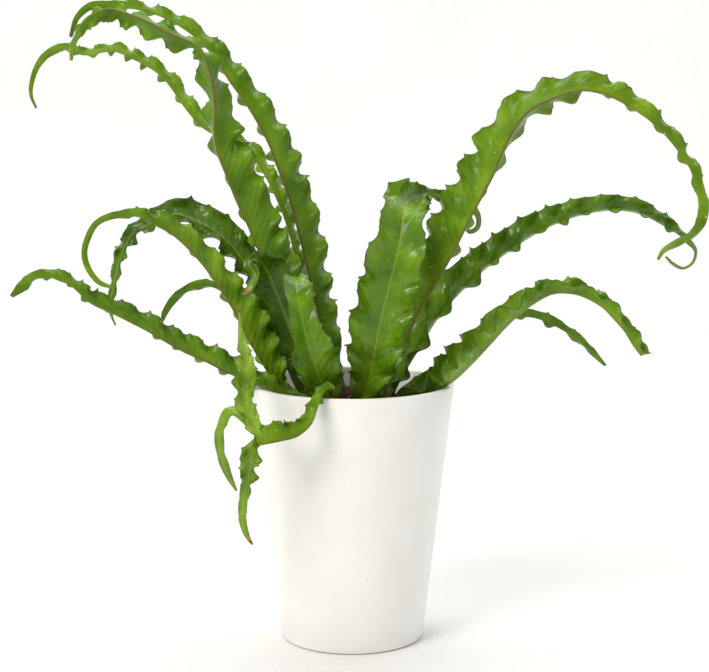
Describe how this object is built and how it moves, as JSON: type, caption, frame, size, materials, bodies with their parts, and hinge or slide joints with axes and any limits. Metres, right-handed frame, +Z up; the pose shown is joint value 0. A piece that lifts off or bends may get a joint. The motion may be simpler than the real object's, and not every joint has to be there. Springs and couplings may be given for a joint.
{
  "type": "potted osaka birds nest fern",
  "caption": "Potted fern with long arching, keeled fronds with ruffled edges, rising from a crown in potting soil in a plain tapered pot.",
  "frame": {"origin": "centre of the pot's flat base", "axes": "+Z up, +Y away from the viewer of the picture, +X to the picture's right"},
  "size_m": [0.5743, 0.2654, 0.515],
  "materials": {
    "pot": "satin off-white glaze",
    "potting_soil": "damp, crumbly, matte",
    "fern_crown": "brown scaly rootstock, matte",
    "frond_tall_left_front": "glossy green leaf",
    "frond_tall_left_outer": "glossy green leaf",
    "frond_thin_back_left": "glossy green leaf",
    "frond_mid_left_curled": "glossy green leaf",
    "frond_mid_left_dark": "glossy green leaf",
    "frond_thin_mid_left": "glossy green leaf",
    "frond_low_left": "glossy green leaf",
    "frond_broad_front": "glossy green leaf",
    "frond_broad_front_behind": "glossy green leaf",
    "frond_broad_right": "glossy green leaf",
    "frond_tall_right": "glossy green leaf",
    "frond_second_right": "glossy green leaf",
    "frond_low_right": "glossy green leaf",
    "frond_strap_right": "glossy green leaf",
    "frond_forked_over_rim": "glossy green leaf"
  },
  "bodies": {
    "root": {"pot": "pot", "potting_soil": "potting_soil", "fern_crown": "fern_crown", "frond_tall_left_front": "frond_tall_left_front", "frond_tall_left_outer": "frond_tall_left_outer", "frond_thin_back_left": "frond_thin_back_left", "frond_mid_left_curled": "frond_mid_left_curled", "frond_mid_left_dark": "frond_mid_left_dark", "frond_thin_mid_left": "frond_thin_mid_left", "frond_low_left": "frond_low_left", "frond_broad_front": "frond_broad_front", "frond_broad_front_behind": "frond_broad_front_behind", "frond_broad_right": "frond_broad_right", "frond_tall_right": "frond_tall_right", "frond_second_right": "frond_second_right", "frond_low_right": "frond_low_right", "frond_strap_right": "frond_strap_right", "frond_forked_over_rim": "frond_forked_over_rim"}
  },
  "joints": []
}
